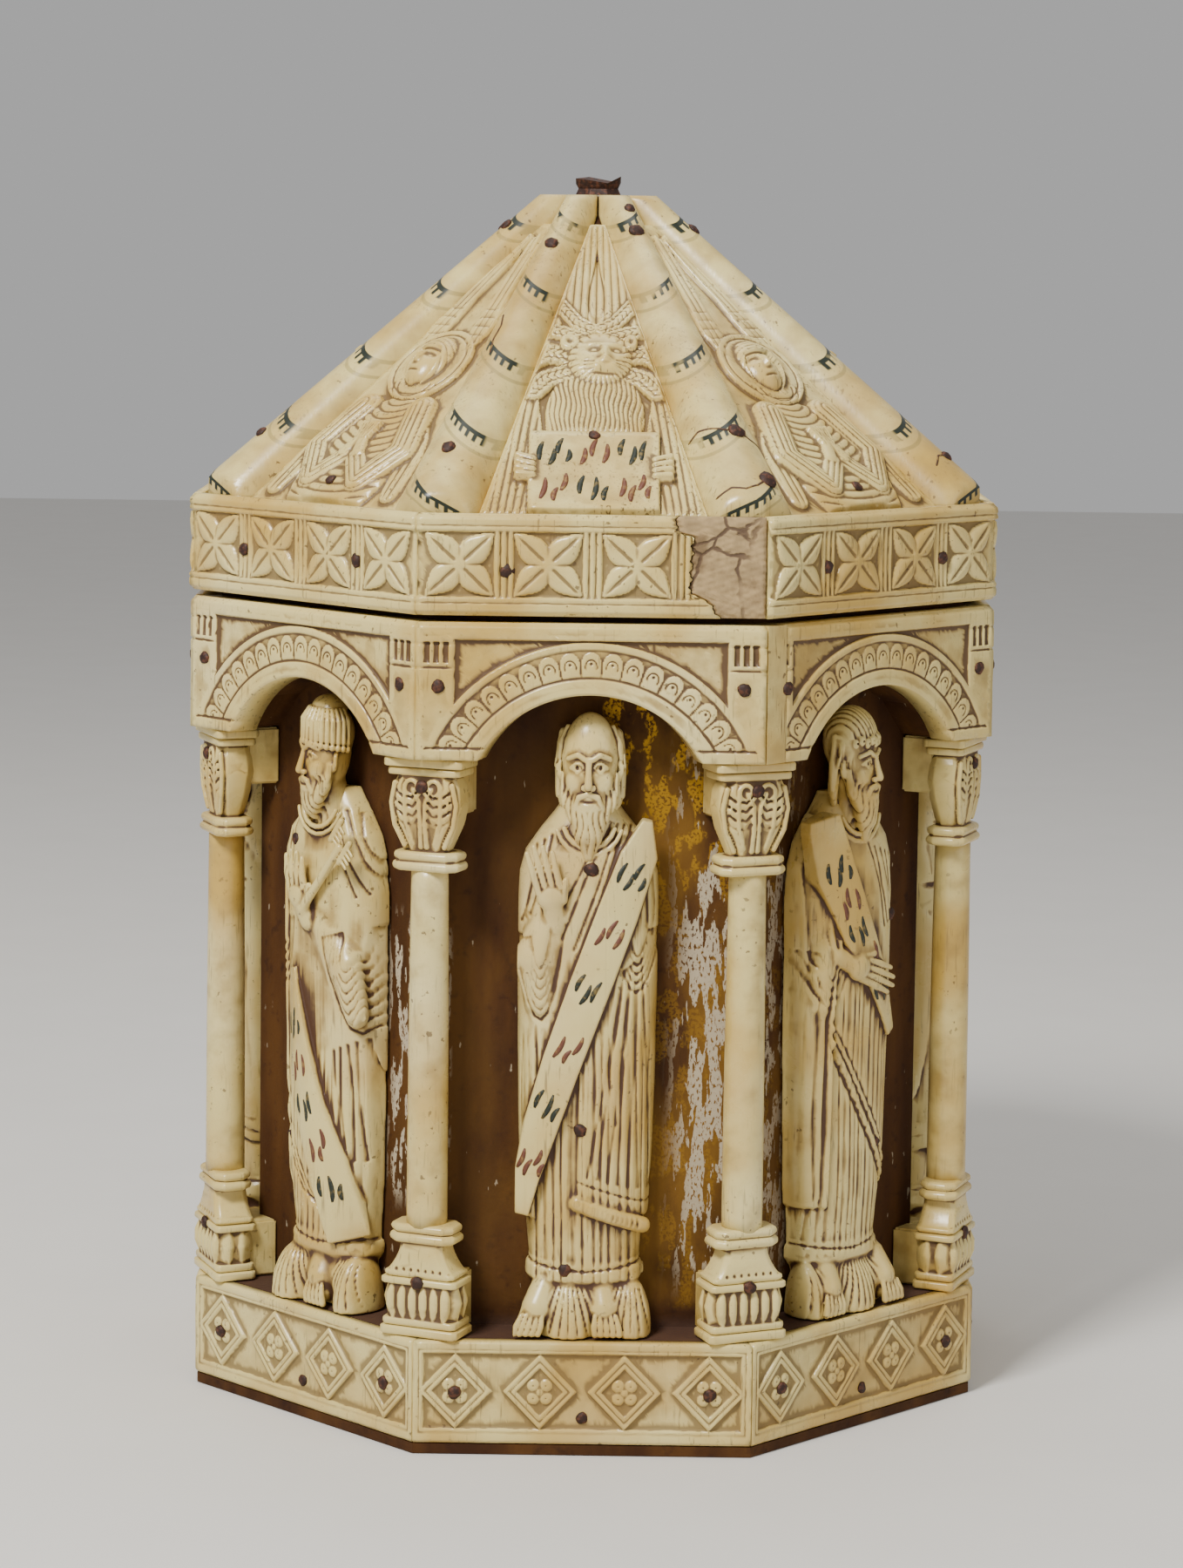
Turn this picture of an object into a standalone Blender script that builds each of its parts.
"""Eight-sided tower reliquary: a hollow wooden box and lid faced with carved bone.

Metres, +Z up, the front side faces -Y, and the origin is under the middle of the base.
Pieces of a side are modelled on the front side and turned about Z, and corner pieces
are modelled facing -Y and turned to their corner.
"""

import math

import bmesh
import bpy
from mathutils import Matrix, Vector

# Plan of the tower

SIDES = 8
SIDE_TURN = 2 * math.pi / SIDES
HALF_TURN = SIDE_TURN / 2
SIDE_NAMES = ("front", "front_right", "right", "back_right", "back", "back_left", "left", "front_left")

# Gaps between pieces

seat_gap = 0.0003        # clearance where one piece rests on another
joint_gap = 0.0002       # half the clearance at a corner joint between two plaques
cut_past = 0.0010        # how far a cutter runs past the face that it cuts

# Wooden box

board_height = 0.0026
board_across = 0.1892
niche_depth = 0.015           # from the base band's face in to the wall behind the figures
niche_head_step = 0.0001      # how far the back of a niche's head stands out past that wall
core_wall = 0.008
floor_thickness = 0.010

# Base band

base_across = 0.190
base_height = 0.024
base_thickness = 0.003
base_top_fillet = 0.0028
base_bottom_fillet = 0.0034
base_recess = 0.0008
lozenge_count = 4
lozenge_width = 0.0172
lozenge_height = 0.0182
lozenge_rise = 0.0009
lozenge_bevel = 0.0016

# Arcade

column_height = 0.1353
arcade_overhang = 0.00175     # how far the arches stand out past the base band
arch_height = 0.0316
arch_thickness = 0.007
arch_top_fillet = 0.0038
arch_recess = 0.0013
arch_rise = 0.0153
arch_span = 0.0514
archivolt_width = 0.0122
pilaster_width = 0.0088
strip_width = 0.0062
spandrel_foot = 0.0046        # above the plaque's lower edge
arch_side_steps = 24
niche_steps = 18

# Columns

column_setback = 0.0021       # from the base band's corner to the front of the pedestals
block_width = 0.0196
block_depth = 0.0104
shaft_bottom = 0.0098
shaft_top = 0.0088
backing_width = 0.0132
backing_height = 0.0136
backing_overlap = 0.0020      # how far a backing block is let into its column

# Levels of a column: height above the ledge or depth below the abacus, width and depth as shares
# of the block's, and in metres the chamfer of the corners and the groove between two leaves or flutes
PEDESTAL_LEVELS = (
    (0.0000, 1.00, 1.00, 0.0010, 0.0000), (0.0038, 0.97, 0.97, 0.0010, 0.0000),
    (0.0044, 0.90, 0.86, 0.0016, 0.0000), (0.0080, 0.98, 0.98, 0.0022, 0.0006),
    (0.0117, 0.90, 0.86, 0.0016, 0.0000), (0.0132, 0.98, 1.00, 0.0010, 0.0000),
    (0.0208, 0.66, 0.76, 0.0016, 0.0000), (0.0222, 0.86, 0.92, 0.0014, 0.0000))
CAPITAL_LEVELS = (
    (0.0210, 0.86, 0.92, 0.0014, 0.0000), (0.0190, 0.60, 0.70, 0.0018, 0.0010),
    (0.0110, 0.92, 0.94, 0.0030, 0.0022), (0.0042, 0.86, 0.92, 0.0020, 0.0014),
    (0.0000, 1.00, 1.00, 0.0010, 0.0000))
shaft_foot = 0.0276           # above the ledge
shaft_head = 0.0266           # below the abacus
shaft_chamfer = 0.29          # share of the shaft's width that makes it eight-sided

# Lid

lid_gap = 0.0016
lid_setback = 0.0001          # from the arches' face in to the lid band's
lid_band_height = 0.0232
lid_thickness = 0.0034
lid_top_fillet = 0.0040
lid_bottom_fillet = 0.0043
lid_recess = 0.0009
lid_wall = 0.008
flower_count = 4
flower_width = 0.0150
flower_height = 0.0138
flower_rise = 0.0014
flower_waist = 0.0022
lost_low = 0.0122           # what is lost of the front lid plaque's right end: along its lower fillet,
lost_middle = 0.0180        # along its field
lost_high = 0.0215          # and along its upper fillet

# Roof

rim_width = 0.00465           # from the lid band's face in to the roof panels' foot
roof_top_across = 0.0214
roof_height = 0.0738
rim_rise = 0.0015           # how far the lid's band stands up round the roof's foot
panel_thickness = 0.0030
panel_recess = 0.0008
panel_top_share = 0.905     # how far up the roof the panel's point reaches
roof_board = 0.008
rib_foot_width = 0.0200
rib_top_width = 0.0080
rib_foot_height = 0.0072
rib_top_height = 0.0052
rib_steps = 5
rib_edge = 0.0006           # upright edge of a rib over the wood
rib_roundness = 0.8         # below 1, a rib's section is fuller than a half ellipse
rib_meet_share = 0.92       # how far up the roof neighbouring ribs meet

# Relief of a roof panel, as shares of half the panel's width at its foot: outlines of (along, up)
WING = ((0.16, 0.95), (0.62, 0.72), (0.38, 2.10), (0.16, 2.00))
BUST = ((-0.52, 0.42), (0.52, 0.42), (0.44, 1.00), (0.16, 1.36), (-0.16, 1.36), (-0.44, 1.00))
TABLET = ((-0.60, 0.10), (0.60, 0.10), (0.60, 0.46), (-0.60, 0.46))
HEAD_UP = 1.62
HEAD_SIZE = 0.24
BEAST_HEAD_SIZE = 0.30
HEAD_LENGTH = 1.15
wing_rise = 0.0016
bust_rise = 0.0034
tablet_rise = 0.0018
head_rise = 0.0066
head_root = 0.0026          # how far a head goes into its panel
relief_taper = 0.75         # size of a raised shape's face against its root

# Stub of the lost finial

stub_width = 0.0112
stub_waist = 0.0098
stub_height = 0.0047
stub_unevenness = 0.0020
STUB_BREAK_STEP = 2.3       # radians of the break's wave from corner to corner

# Figures

head_gap = 0.0040             # between a figure's head and the crown of its arch
figure_width = 0.0306
figure_depth = 0.0138
head_sway = 0.004           # how far a head turned by one radian leans to that side

# Levels of a draped body: shares of the height, the half width and the depth, and of the depth
# for the pleats
BODY_LEVELS = (
    (0.000, 0.96, 1.00, 0.00), (0.045, 0.78, 0.80, 0.00), (0.058, 0.86, 0.74, 0.07),
    (0.200, 0.84, 0.72, 0.07), (0.212, 0.96, 0.80, 0.07), (0.620, 0.98, 0.80, 0.05),
    (0.760, 0.94, 0.74, 0.04), (0.806, 0.70, 0.58, 0.03), (0.830, 0.34, 0.44, 0.00),
    (0.860, 0.30, 0.40, 0.00))
BODY_PLEATS = 6
BODY_FULLNESS = 0.62        # below 1, the front is fuller than a half ellipse

# Head, beard, scroll and arm, as shares of the half width, the depth and the height
HEAD_Z = 0.912
HEAD_OUT = 0.50
HEAD_HALF = (0.48, 0.46, 0.086)
CHIN_OUT = 0.22
CHIN_DROP = 0.030
BEARD_ROOT = 0.34
BEARD_TIP = 0.10
BEARD_FLATNESS = 0.8
HAIR_DEPTH = 0.42
HAIR_BACK = 0.06
SCROLL_HALF = 0.26
SCROLL_BACK = 0.32
SCROLL_DEPTH = 0.56
ELBOW = (0.80, 0.46, 0.10)
PALM_OUT = 0.84
FINGERS = 0.075
ARM_SIZES = (0.30, 0.20, 0.12)
ARM_ROOT = 0.42

# Widths, heights and radii that follow

core_across = base_across - 2 * niche_depth
arcade_across = base_across + 2 * arcade_overhang
lid_across = arcade_across - 2 * lid_setback
roof_foot_across = lid_across - 2 * rim_width

ledge_z = board_height + base_height
abacus_z = ledge_z + column_height
arch_z = abacus_z + seat_gap
arch_top_z = arch_z + arch_height
lid_z = arch_top_z + lid_gap
rim_z = lid_z + lid_band_height
roof_z = rim_z - rim_rise
roof_top_z = roof_z + roof_height

arch_radius = ((arch_span / 2) ** 2 + arch_rise ** 2) / (2 * arch_rise)
arch_centre_z = arch_z + arch_rise - arch_radius
figure_foot_z = ledge_z + seat_gap
figure_height = arch_z + arch_rise - head_gap - figure_foot_z
roof_slope = math.atan2(roof_height, (roof_foot_across - roof_top_across) / 2)
roof_skin = (panel_thickness + seat_gap) / math.sin(roof_slope)

# What each figure does, as shares of its own height and half width: head turn in degrees,
# beard and hair kind, the scroll's two ends, the raised hand, and that arm's side: -1 left, 1 right

FIGURES = {
    "front": dict(turn=-6, beard=0.090, hair="bald", scroll=((0.82, 0.86), (-0.80, 0.24)),
                  hand=(-0.55, 0.62), arm=-1),
    "front_right": dict(turn=24, beard=0.075, hair="long", scroll=((-0.55, 0.84), (0.62, 0.55)),
                        hand=(0.18, 0.60), arm=1),
    "right": dict(turn=10, beard=0.045, hair="curly", scroll=((0.36, 0.71), (-0.30, 0.22)),
                  hand=(0.50, 0.64), arm=1),
    "back_right": dict(turn=-12, beard=0.0, hair="long", scroll=((-0.45, 0.70), (0.50, 0.36)),
                       hand=(-0.50, 0.70), arm=-1),
    "back": dict(turn=0, beard=0.070, hair="long", scroll=((0.60, 0.74), (-0.60, 0.46)),
                 hand=(0.60, 0.74), arm=1),
    "back_left": dict(turn=14, beard=0.060, hair="bald", scroll=((-0.60, 0.60), (0.40, 0.24)),
                      hand=(-0.55, 0.62), arm=-1),
    "left": dict(turn=-10, beard=0.050, hair="curly", scroll=((0.65, 0.80), (0.10, 0.30)),
                 hand=(-0.40, 0.64), arm=-1),
    "front_left": dict(turn=-26, beard=0.045, hair="cap", scroll=((-0.35, 0.60), (0.52, 0.17)),
                       hand=(0.05, 0.66), arm=-1),
}

# Hair as shares of the half width and the height: how wide, how tall, how far above the head's middle
HAIR = {"long": (0.56, 0.074, 0.006), "curly": (0.55, 0.060, 0.022), "cap": (0.52, 0.050, 0.034)}


def clear_scene():
    """Take away whatever the scene holds."""
    for thing in list(bpy.data.objects):
        bpy.data.objects.remove(thing, do_unlink=True)


def new_collection(name):
    collection = bpy.data.collections.new(name)
    bpy.context.scene.collection.children.link(collection)
    return collection


def make_material(name, colour, roughness, metallic=0.0):
    """A Principled BSDF with the finish seen in daylight."""
    material = bpy.data.materials.new(name)
    material.use_nodes = True
    shader = material.node_tree.nodes["Principled BSDF"]
    shader.inputs["Base Color"].default_value = (*colour, 1.0)
    shader.inputs["Roughness"].default_value = roughness
    shader.inputs["Metallic"].default_value = metallic
    return material


def across_to_corner(across):
    """Radius of the corners of an octagon of this width across its flats."""
    return across / 2 / math.cos(HALF_TURN)


def octagon(across, z):
    """Corners of an octagon whose first flat faces -Y."""
    radius = across_to_corner(across)
    angles = [-math.pi / 2 - HALF_TURN + SIDE_TURN * i for i in range(SIDES)]
    return [Vector((radius * math.cos(a), radius * math.sin(a), z)) for a in angles]


# Building solids

def new_object(name, mesh, collection):
    piece = bpy.data.objects.new(name, mesh)
    collection.objects.link(piece)
    return piece


def loft(name, rings, collection):
    """A closed solid through rings of equally many points, with flat ends or a last single point."""
    bm = bmesh.new()
    loops = [[bm.verts.new(point) for point in ring] for ring in rings]
    count = len(rings[0])
    for low, high in zip(loops, loops[1:]):
        for i in range(count):
            j = (i + 1) % count
            upper = (high[j], high[i]) if len(high) > 1 else (high[0],)
            bm.faces.new((low[i], low[j], *upper))
    bm.faces.new(loops[0])
    if len(loops[-1]) > 2:
        bm.faces.new(loops[-1])
    bmesh.ops.recalc_face_normals(bm, faces=bm.faces)
    mesh = bpy.data.meshes.new(name)
    bm.to_mesh(mesh)
    bm.free()
    return new_object(name, mesh, collection)


def from_primitive(name, collection, maker, scale=(1, 1, 1), turn=None, place=(0, 0, 0), **sizes):
    """A bmesh primitive, scaled, turned and moved in its mesh."""
    bm = bmesh.new()
    maker(bm, **sizes)
    bmesh.ops.scale(bm, vec=Vector(scale), verts=bm.verts)
    if turn is not None:
        bmesh.ops.rotate(bm, matrix=turn, verts=bm.verts)
    bmesh.ops.translate(bm, vec=Vector(place), verts=bm.verts)
    mesh = bpy.data.meshes.new(name)
    bm.to_mesh(mesh)
    bm.free()
    return new_object(name, mesh, collection)


def box(name, low, high, collection):
    """A box between two corners."""
    centre = (Vector(low) + Vector(high)) / 2
    size = Vector(high) - Vector(low)
    return from_primitive(name, collection, bmesh.ops.create_cube, scale=size, place=centre, size=1.0)


def drum_along_y(name, radius, centre_z, near, far, steps, collection):
    """A round cutter that lies along Y, from y = -far to y = -near."""
    return from_primitive(
        name, collection, bmesh.ops.create_cone, turn=Matrix.Rotation(math.pi / 2, 3, "X"),
        place=(0, -(near + far) / 2, centre_z), cap_ends=True, segments=steps,
        radius1=radius, radius2=radius, depth=far - near)


def combine(piece, tools, operation):
    """Apply one exact Boolean after another and take the tools away."""
    for tool in tools:
        cut = piece.modifiers.new(operation.lower(), "BOOLEAN")
        cut.operation = operation
        cut.solver = "EXACT"
        cut.object = tool
    bpy.context.view_layer.update()
    shaped = piece.evaluated_get(bpy.context.evaluated_depsgraph_get())
    mesh = bpy.data.meshes.new_from_object(shaped)
    piece.modifiers.clear()
    piece.data = mesh
    for tool in tools:
        bpy.data.objects.remove(tool, do_unlink=True)
    return piece


def shells(bm):
    """The vertices of a mesh, one set for each closed surface."""
    found = []
    left = set(bm.verts)
    while left:
        shell = {left.pop()}
        edge = list(shell)
        while edge:
            near = {e.other_vert(v) for v in edge for e in v.link_edges} & left
            shell |= near
            left -= near
            edge = list(near)
        found.append(shell)
    return found


def fill_pockets(piece):
    """Fill the small pockets that crossing limbs and folds leave inside a carving."""
    bm = bmesh.new()
    bm.from_mesh(piece.data)
    outer, *pockets = sorted(shells(bm), key=len, reverse=True)
    for pocket in pockets:
        bmesh.ops.delete(bm, geom=list(pocket), context="VERTS")
    bm.to_mesh(piece.data)
    bm.free()
    return piece


def place_round(shape, names, turns, material, collection):
    """Set copies of one shape round the tower, each its own object."""
    shape.data.materials.clear()
    shape.data.materials.append(material)
    for name, turn in zip(names, turns):
        copy = new_object(name, shape.data, collection)
        copy.rotation_euler.z = turn
    bpy.data.objects.remove(shape, do_unlink=True)


def mitred_strip(name, profile, collection, left_trim=0.0, right_trim=0.0):
    """A plaque as long as its side, cut to the corner angle at both ends.

    profile holds (distance from the axis, height) points, in order round the section.
    """
    slope = math.tan(HALF_TURN)
    left = [Vector((-r * slope + joint_gap + left_trim, -r, z)) for r, z in profile]
    right = [Vector((r * slope - joint_gap - right_trim, -r, z)) for r, z in profile]
    return loft(name, (left, right), collection)


def banded_profile(front, thickness, bottom, top, low_fillet, high_fillet, recess):
    """Section of a band plaque: a raised fillet below and above a sunk field."""
    field = front - recess
    back = front - thickness
    return ((front, bottom), (front, bottom + low_fillet), (field, bottom + low_fillet + recess),
            (field, top - high_fillet - recess), (front, top - high_fillet), (front, top),
            (back, top), (back, bottom))


# Wooden box and lid

def make_core(collection, tools, wood):
    """The hollow box: base step, walls, and a collar with an arched niche head on each side."""
    step_across = base_across - 2 * (base_thickness + seat_gap)
    collar_across = arcade_across - 2 * (arch_thickness + seat_gap)
    top = lid_z - seat_gap
    niche_low = arch_z + seat_gap
    rings = [octagon(board_across, 0.0), octagon(board_across, board_height - seat_gap),
             octagon(step_across, board_height - seat_gap), octagon(step_across, ledge_z),
             octagon(core_across, ledge_z), octagon(core_across, niche_low),
             octagon(collar_across, niche_low), octagon(collar_across, top)]
    core = loft("core_box", rings, collection)
    inner = core_across - 2 * core_wall
    cavity = loft("cavity", [octagon(inner, floor_thickness), octagon(inner, top + cut_past)], tools)
    combine(core, [cavity], "DIFFERENCE")
    head_radius = arch_radius + seat_gap
    heads = []
    for i in range(SIDES):
        head = drum_along_y("niche_head", head_radius, arch_centre_z, core_across / 2 + niche_head_step,
                            arcade_across / 2, niche_steps, tools)
        head.rotation_euler.z = SIDE_TURN * i
        heads.append(head)
    combine(core, heads, "DIFFERENCE")
    core.data.materials.clear()
    core.data.materials.append(wood)


def make_lid_core(collection, tools, wood):
    """The hollow lid: a low band under an eight-sided pyramid, open below."""
    band_across = lid_across - 2 * (lid_thickness + seat_gap)
    foot = roof_foot_across - 2 * roof_skin
    top = roof_top_across - 2 * roof_skin
    rings = [octagon(band_across, lid_z), octagon(band_across, roof_z - seat_gap),
             octagon(foot, roof_z - seat_gap), octagon(top, roof_top_z)]
    lid = loft("lid_core", rings, collection)
    board = roof_board / math.sin(roof_slope)
    inner_foot = foot - 2 * board
    inner_top_z = roof_z + (inner_foot - stub_width) / 2 * math.tan(roof_slope)
    inner_band = band_across - 2 * lid_wall
    hollow = [octagon(inner_band, lid_z - cut_past), octagon(inner_band, roof_z - roof_board),
              octagon(inner_foot, roof_z), octagon(stub_width, inner_top_z)]
    combine(lid, [loft("lid_hollow", hollow, tools)], "DIFFERENCE")
    lid.data.materials.clear()
    lid.data.materials.append(wood)


def make_stub(collection, iron):
    """The broken stub: a short eight-sided shank with a slanting, uneven break."""
    foot_z = roof_top_z + seat_gap
    base = octagon(stub_width, foot_z)
    waist = octagon(stub_waist, foot_z + stub_height / 3)
    break_ring = []
    for i, corner in enumerate(octagon(stub_width, foot_z)):
        lift = stub_height - stub_unevenness * (1 + math.sin(STUB_BREAK_STEP * i)) / 2
        break_ring.append(corner + Vector((0, 0, lift)))
    stub = loft("finial_stub", (base, waist, break_ring), collection)
    stub.data.materials.append(iron)


# Plaques

def make_base_plaque(tools):
    """A base plaque with its row of lozenges."""
    front = base_across / 2
    low = board_height
    plaque = mitred_strip("base_plaque", banded_profile(
        front, base_thickness, low, ledge_z, base_bottom_fillet, base_top_fillet, base_recess), tools)
    field = front - base_recess
    length = 2 * front * math.tan(HALF_TURN)
    pitch = length / lozenge_count
    centre_z = (low + base_bottom_fillet + ledge_z - base_top_fillet) / 2
    for i in range(lozenge_count):
        x = (i + 0.5 - lozenge_count / 2) * pitch
        rings = []
        for out, shrink in ((field - lozenge_rise, 0.0), (field + lozenge_rise, lozenge_bevel)):
            half_w = lozenge_width / 2 - shrink / 2
            half_h = lozenge_height / 2 - shrink / 2
            rings.append([Vector((x - half_w, -out, centre_z)), Vector((x, -out, centre_z - half_h)),
                          Vector((x + half_w, -out, centre_z)), Vector((x, -out, centre_z + half_h))])
        combine(plaque, [loft("lozenge", rings, tools)], "UNION")
    return plaque


def flower_ring(x, z, out, half_width, half_height, waist):
    """Outline of a flower of four leaves: four tips and the notches between them."""
    points = []
    for i in range(8):
        angle = math.pi / 4 * i + math.pi / 4
        if i % 2 == 0:
            reach_x = half_width * math.copysign(1, math.cos(angle))
            reach_z = half_height * math.copysign(1, math.sin(angle))
        else:
            reach_x = waist * math.cos(angle)
            reach_z = waist * math.sin(angle)
        points.append(Vector((x + reach_x, -out, z + reach_z)))
    return points


def make_lid_plaque(tools, flowers, broken):
    """A lid plaque with its four-leaved flowers; the front one has lost its right end."""
    front = lid_across / 2
    plaque = mitred_strip("lid_plaque", banded_profile(
        front, lid_thickness, lid_z, rim_z, lid_bottom_fillet, lid_top_fillet, lid_recess), tools)
    field = front - lid_recess
    length = 2 * front * math.tan(HALF_TURN)
    pitch = length / flower_count
    centre_z = (lid_z + lid_bottom_fillet + rim_z - lid_top_fillet) / 2
    for i in range(flowers):
        x = (i + 0.5 - flower_count / 2) * pitch
        root = flower_ring(x, centre_z, field - lid_recess / 4, flower_width / 2, flower_height / 2,
                           flower_waist)
        flower = loft("flower", (root, [Vector((x, -field - flower_rise, centre_z))]), tools)
        combine(plaque, [flower], "UNION")
    if broken:
        right = front * math.tan(HALF_TURN)
        sill = lid_z + lid_bottom_fillet
        lost = [(right - lost_low, lid_z - cut_past), (right + cut_past, lid_z - cut_past),
                (right + cut_past, rim_z + cut_past), (right - lost_high, rim_z + cut_past),
                (right - lost_middle, rim_z - lid_top_fillet), (right - lost_middle, sill)]
        rings = [[Vector((x, -out, z)) for x, z in lost]
                 for out in (front + cut_past, front - lid_thickness - cut_past)]
        combine(plaque, [loft("lost_end", rings, tools)], "DIFFERENCE")
    return plaque


def make_arch_plaque(tools, left_trim=0.0):
    """An arch plaque: sunk spandrels between the archivolt, the pilasters and the top fillet."""
    front = arcade_across / 2
    back = front - arch_thickness
    profile = ((front, arch_z), (front, arch_top_z), (back, arch_top_z), (back, arch_z))
    plaque = mitred_strip("arch_plaque", profile, tools, left_trim=left_trim)
    opening = drum_along_y("opening", arch_radius, arch_centre_z, back - cut_past, front + cut_past,
                           arch_side_steps, tools)
    combine(plaque, [opening], "DIFFERENCE")
    half = front * math.tan(HALF_TURN) - pilaster_width
    pocket = box("pocket", (-half, -front - cut_past, arch_z + spandrel_foot),
                 (half, -front + arch_recess, arch_top_z - arch_top_fillet), tools)
    ring = drum_along_y("archivolt", arch_radius + archivolt_width, arch_centre_z, back,
                        front + 2 * cut_past, arch_side_steps, tools)
    combine(pocket, [ring], "DIFFERENCE")
    return combine(plaque, [pocket], "DIFFERENCE")


def make_corner_strip(collection, bone):
    """The narrow strip that fills the front right side's left end."""
    front = arcade_across / 2
    back = front - arch_thickness
    slope = math.tan(HALF_TURN)
    rings = []
    for z in (arch_z, arch_top_z):
        left_front = -front * slope + joint_gap
        left_back = -back * slope + joint_gap
        right = -front * slope + strip_width
        rings.append([Vector((left_front, -front, z)), Vector((right, -front, z)),
                      Vector((right, -back, z)), Vector((left_back, -back, z))])
    strip = loft("corner_strip", rings, collection)
    strip.data.materials.append(bone)
    strip.rotation_euler.z = SIDE_TURN


# Columns

def column_ring(z, width, depth, chamfer, groove, centre):
    """One level of a column: a block with chamfered front corners and a groove in its front."""
    half = width / 2
    front = centre + depth / 2
    back = centre - depth / 2
    side = front - chamfer
    shoulder = half - chamfer
    points = ((-half, back), (-half, side), (-shoulder, front), (0.0, front - groove),
              (shoulder, front), (half, side), (half, back))
    return [Vector((x, -out, z)) for x, out in points]


def make_column(tools):
    """A column carved in one with its pedestal and capital, and its two backing blocks."""
    centre = across_to_corner(base_across) - column_setback - block_depth / 2
    low = ledge_z + seat_gap
    rings = []
    for up, wide, deep, chamfer, groove in PEDESTAL_LEVELS:
        rings.append(column_ring(low + up, block_width * wide, block_depth * deep, chamfer, groove, centre))
    for z, width in ((low + shaft_foot, shaft_bottom), (abacus_z - shaft_head, shaft_top)):
        rings.append(column_ring(z, width, width, width * shaft_chamfer, 0.0, centre))
    for down, wide, deep, chamfer, groove in CAPITAL_LEVELS:
        rings.append(column_ring(abacus_z - down, block_width * wide, block_depth * deep, chamfer, groove,
                                 centre))
    column = loft("column", rings, tools)
    wall = across_to_corner(core_across) + seat_gap / math.cos(HALF_TURN)
    front = centre - block_depth / 2 + backing_overlap
    half = backing_width / 2
    fall = half * math.tan(HALF_TURN)
    plan = ((0.0, wall), (half, wall - fall), (half, front), (-half, front), (-half, wall - fall))
    for z in (low, abacus_z - backing_height):
        rings = [[Vector((x, -out, level)) for x, out in plan] for level in (z, z + backing_height)]
        combine(column, [loft("backing", rings, tools)], "UNION")
    return column


# Roof

def on_slope(u, w, out):
    """A point u along the side, w up the roof's slope from its foot and out from the panel's face."""
    r = roof_foot_across / 2 - w * math.cos(roof_slope) + out * math.sin(roof_slope)
    z = roof_z + w * math.sin(roof_slope) + out * math.cos(roof_slope)
    return Vector((u, -r, z))


def rib_half_width(share):
    """Half the rib's width in a level cut at a share of the roof's height."""
    return (rib_foot_width + (rib_top_width - rib_foot_width) * share) / 2


def panel_corner(side, share, out):
    """A corner of the panel, level with a share of the roof's height and clear of the rib."""
    z = roof_z + seat_gap + (roof_height - seat_gap) * share
    r = roof_foot_across / 2 - (z - roof_z) / math.tan(roof_slope) + out / math.sin(roof_slope)
    half = r * math.tan(HALF_TURN) - (rib_half_width(share) + seat_gap) / math.cos(HALF_TURN)
    return Vector((side * half, -r, z))


def relief_on_slope(name, outline, unit, rise, tools):
    """A raised shape on the roof panel that narrows towards its face."""
    centre_u = sum(u for u, w in outline) / len(outline)
    centre_w = sum(w for u, w in outline) / len(outline)
    root = [on_slope(u * unit, w * unit, -panel_thickness / 2) for u, w in outline]
    face = [on_slope((centre_u + (u - centre_u) * relief_taper) * unit,
                     (centre_w + (w - centre_w) * relief_taper) * unit, rise) for u, w in outline]
    return loft(name, (root, face), tools)


def make_roof_panel(tools, beast):
    """A three-cornered panel with a winged bust, or a winged beast with a tablet on the front one."""
    rings = []
    for out in (-panel_thickness, -panel_recess):
        rings.append([panel_corner(side, share, out) for side, share in
                      ((-1, 0.0), (1, 0.0), (1, panel_top_share), (-1, panel_top_share))])
    panel = loft("roof_panel", rings, tools)
    unit = panel_corner(1, 0.0, -panel_recess).x
    reliefs = [relief_on_slope("wing", [(side * u, w) for u, w in WING], unit, wing_rise, tools)
               for side in (-1, 1)]
    reliefs.append(relief_on_slope("bust", BUST, unit, bust_rise, tools))
    if beast:
        reliefs.append(relief_on_slope("tablet", TABLET, unit, tablet_rise, tools))
    size = unit * (BEAST_HEAD_SIZE if beast else HEAD_SIZE)
    reliefs.append(from_primitive(
        "head", tools, bmesh.ops.create_icosphere, scale=(size, size * HEAD_LENGTH, (head_rise + head_root) / 2),
        turn=Matrix.Rotation(roof_slope, 3, "X"), place=on_slope(0.0, HEAD_UP * unit, (head_rise - head_root) / 2),
        subdivisions=1, radius=1.0))
    return combine(panel, reliefs, "UNION")


def rib_ring(share):
    """A level cut through a rib: a half round over a hollow that fits the wooden corner."""
    across = roof_foot_across + (roof_top_across - roof_foot_across) * share
    wood_corner = across_to_corner(across - 2 * roof_skin)
    half = rib_half_width(share)
    height = rib_foot_height + (rib_top_height - rib_foot_height) * share
    run = across_to_corner(roof_foot_across) - across_to_corner(roof_top_across)
    level_height = height / math.sin(math.atan2(roof_height, run))
    z = roof_z + seat_gap + (roof_height - seat_gap) * share
    gap = seat_gap / math.sin(roof_slope)
    meeting = ((wood_corner + gap) * math.tan(HALF_TURN) - joint_gap) * math.cos(HALF_TURN) ** 2
    low_half = min(half, meeting)
    fall = low_half * math.tan(HALF_TURN)
    points = [(0.0, gap), (-low_half, gap - fall)]
    for i in range(rib_steps + 1):
        angle = math.pi * i / rib_steps
        bulge = (level_height + fall) * math.sin(angle) ** rib_roundness
        points.append((-half * math.cos(angle), bulge + gap - fall + rib_edge))
    points.append((low_half, gap - fall))
    ring = []
    for x, out in points:
        room = (wood_corner + out) * math.tan(HALF_TURN) - joint_gap
        ring.append(Vector((max(-room, min(room, x)), -(wood_corner + out), z)))
    return ring


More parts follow.
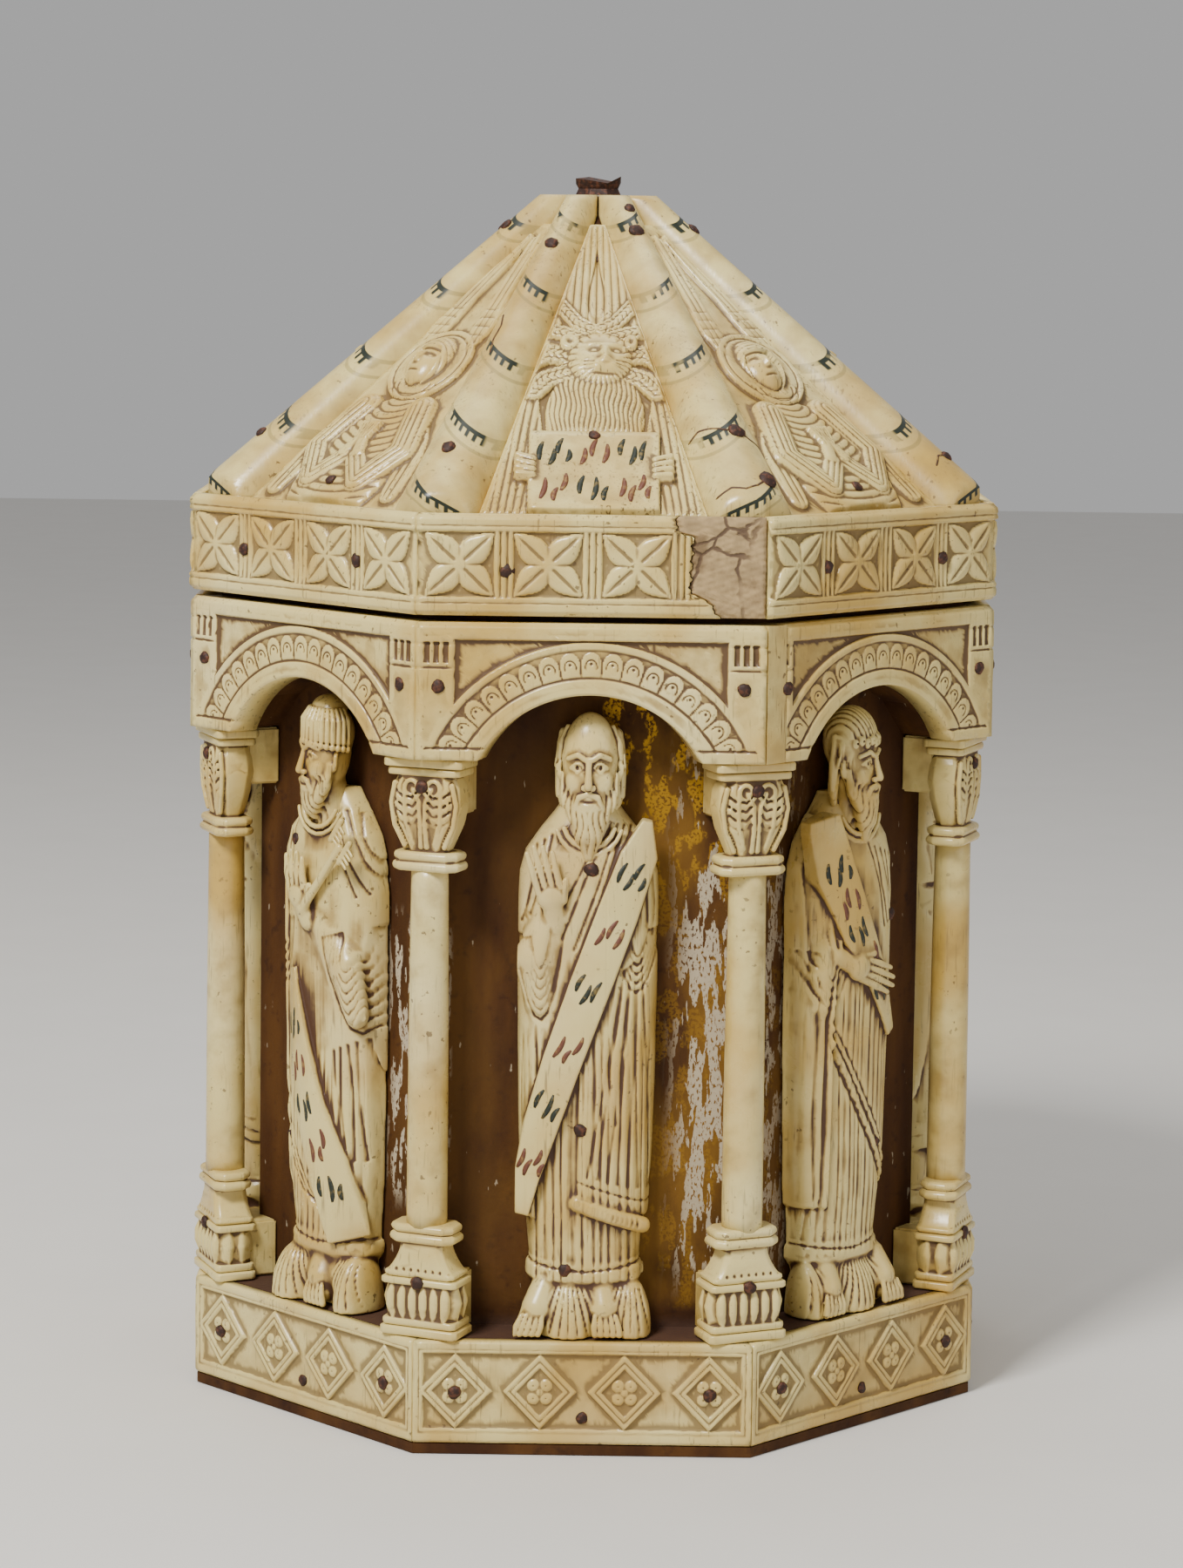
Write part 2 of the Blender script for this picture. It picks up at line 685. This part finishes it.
def make_rib(tools):
    """A half-round rib whose foot is cut upright to stand inside the lid's band."""
    rib = loft("rib", [rib_ring(0.0), rib_ring(rib_meet_share), rib_ring(1.0)], tools)
    inside = lid_across - 2 * (lid_thickness + seat_gap)
    room = loft("room", [octagon(inside, roof_z - rim_rise), octagon(inside, roof_top_z + rim_rise)], tools)
    room.rotation_euler.z = HALF_TURN
    return combine(rib, [room], "INTERSECT")


# Figures

def body_ring(z, centre, half, depth, fold, back):
    """One level of a draped body: flat at the back, and pleated round the front."""
    points = [(centre + half, 0.0), (centre - half, 0.0)]
    for i in range(BODY_PLEATS):
        angle = math.pi * (i + 1) / (BODY_PLEATS + 1)
        ripple = fold if i % 2 == 0 else -fold
        points.append((centre - half * math.cos(angle), (depth + ripple) * math.sin(angle) ** BODY_FULLNESS))
    return [Vector((x, -(back + out), z)) for x, out in points]


def make_head(pose, sway, back, foot, tools):
    """Head, beard and hair, turned together about the neck."""
    h = figure_height
    w = figure_width / 2
    d = figure_depth
    turn = Matrix.Rotation(math.radians(pose["turn"]), 3, "Z")
    centre = Vector((sway, -(back + d * HEAD_OUT), foot + h * HEAD_Z))
    parts = [from_primitive("head", tools, bmesh.ops.create_uvsphere, turn=turn, place=centre,
                            scale=(w * HEAD_HALF[0], d * HEAD_HALF[1], h * HEAD_HALF[2]),
                            u_segments=6, v_segments=5, radius=1.0)]
    if pose["beard"] > 0:
        length = h * pose["beard"]
        chin = centre + turn @ Vector((0, -d * CHIN_OUT, -h * CHIN_DROP))
        parts.append(from_primitive(
            "beard", tools, bmesh.ops.create_cone, turn=turn, scale=(1.0, BEARD_FLATNESS, 1.0),
            place=chin - Vector((0, 0, length / 2)), cap_ends=True, segments=4,
            radius1=w * BEARD_TIP, radius2=w * BEARD_ROOT, depth=length))
    if pose["hair"] in HAIR:
        wide, tall, lift = HAIR[pose["hair"]]
        parts.append(from_primitive("hair", tools, bmesh.ops.create_uvsphere, turn=turn,
                                    scale=(w * wide, d * HAIR_DEPTH, h * tall),
                                    place=centre + Vector((0, d * HAIR_BACK, h * lift)),
                                    u_segments=6, v_segments=4, radius=1.0))
    return parts


def make_scroll(pose, back, foot, tools):
    """The written band that hangs slantwise in front of the body."""
    (x0, z0), (x1, z1) = pose["scroll"]
    w = figure_width / 2
    start = Vector((x0 * w, -(back + figure_depth * SCROLL_BACK), foot + figure_height * z0))
    end = Vector((x1 * w, -(back + figure_depth * SCROLL_BACK), foot + figure_height * z1))
    along = (end - start).normalized()
    across = Vector((along.z, 0, -along.x)) * w * SCROLL_HALF
    out = Vector((0, -figure_depth * SCROLL_DEPTH, 0))
    return loft("scroll", [[p - across, p + across, p + across + out, p - across + out]
                           for p in (start, end)], tools)


def make_arm(pose, back, foot, tools):
    """The forearm that carries the raised hand."""
    hand_x, hand_z = pose["hand"]
    w = figure_width / 2
    d = figure_depth
    side = pose["arm"]
    elbow = Vector((side * w * ELBOW[0], -(back + d * ELBOW[1]), foot + figure_height * (hand_z - ELBOW[2])))
    palm = Vector((hand_x * w, -(back + d * PALM_OUT), foot + figure_height * hand_z))
    tip = palm + Vector((0, 0, figure_height * FINGERS))
    rings = []
    for point, size in zip((elbow, palm, tip), ARM_SIZES):
        r = w * size
        rings.append([point + Vector((-r, 0, 0)), point + Vector((0, -r, 0)), point + Vector((r, 0, 0)),
                      point + Vector((0, d * ARM_ROOT, 0))])
    return loft("arm", rings, tools)


def make_figure(name, pose, collection, tools, bone):
    """A standing figure in a niche: draped body, head, scroll and a raised forearm."""
    back = core_across / 2 + seat_gap
    foot = figure_foot_z
    sway = math.radians(pose["turn"]) * head_sway
    w = figure_width / 2
    rings = [body_ring(foot + figure_height * share, sway * share, w * wide, figure_depth * deep,
                       figure_depth * fold, back) for share, wide, deep, fold in BODY_LEVELS]
    figure = loft(name, rings, collection)
    additions = make_head(pose, sway, back, foot, tools)
    additions.append(make_scroll(pose, back, foot, tools))
    additions.append(make_arm(pose, back, foot, tools))
    fill_pockets(combine(figure, additions, "UNION"))
    figure.data.materials.clear()
    figure.data.materials.append(bone)
    return figure


def main():
    clear_scene()
    pieces = new_collection("reliquary")
    tools = new_collection("cutters")
    bone = make_material("bone", (0.80, 0.71, 0.52), 0.35)
    wood = make_material("stained_wood", (0.12, 0.07, 0.05), 0.7)
    iron = make_material("rusted_iron", (0.16, 0.08, 0.05), 0.8, 0.4)

    side_turns = [SIDE_TURN * i for i in range(SIDES)]
    corner_turns = [SIDE_TURN * i + HALF_TURN for i in range(SIDES)]
    corner_numbers = range(1, SIDES + 1)

    make_core(pieces, tools, wood)
    make_lid_core(pieces, tools, wood)
    make_stub(pieces, iron)
    place_round(make_base_plaque(tools), [f"base_plaque_{n}" for n in SIDE_NAMES], side_turns, bone, pieces)
    whole = [(n, t) for n, t in zip(SIDE_NAMES, side_turns) if n != "front"]
    place_round(make_lid_plaque(tools, flower_count - 1, True), ["lid_plaque_front"], [0.0], bone, pieces)
    place_round(make_lid_plaque(tools, flower_count, False), [f"lid_plaque_{n}" for n, t in whole],
                [t for n, t in whole], bone, pieces)
    plain = [(n, t) for n, t in zip(SIDE_NAMES, side_turns) if n != "front_right"]
    place_round(make_arch_plaque(tools), [f"arch_plaque_{n}" for n, t in plain], [t for n, t in plain],
                bone, pieces)
    place_round(make_arch_plaque(tools, strip_width + seat_gap), ["arch_plaque_front_right"], [SIDE_TURN],
                bone, pieces)
    make_corner_strip(pieces, bone)
    place_round(make_column(tools), [f"column_{i}" for i in corner_numbers], corner_turns, bone, pieces)
    place_round(make_roof_panel(tools, True), ["roof_panel_front"], [0.0], bone, pieces)
    place_round(make_roof_panel(tools, False), [f"roof_panel_{n}" for n, t in whole], [t for n, t in whole],
                bone, pieces)
    rib = make_rib(tools)
    place_round(rib, [f"roof_rib_{i}" for i in corner_numbers], corner_turns, bone, pieces)
    for name, turn in zip(SIDE_NAMES, side_turns):
        figure = make_figure(f"figure_{name}", FIGURES[name], pieces, tools, bone)
        figure.rotation_euler.z = turn


main()
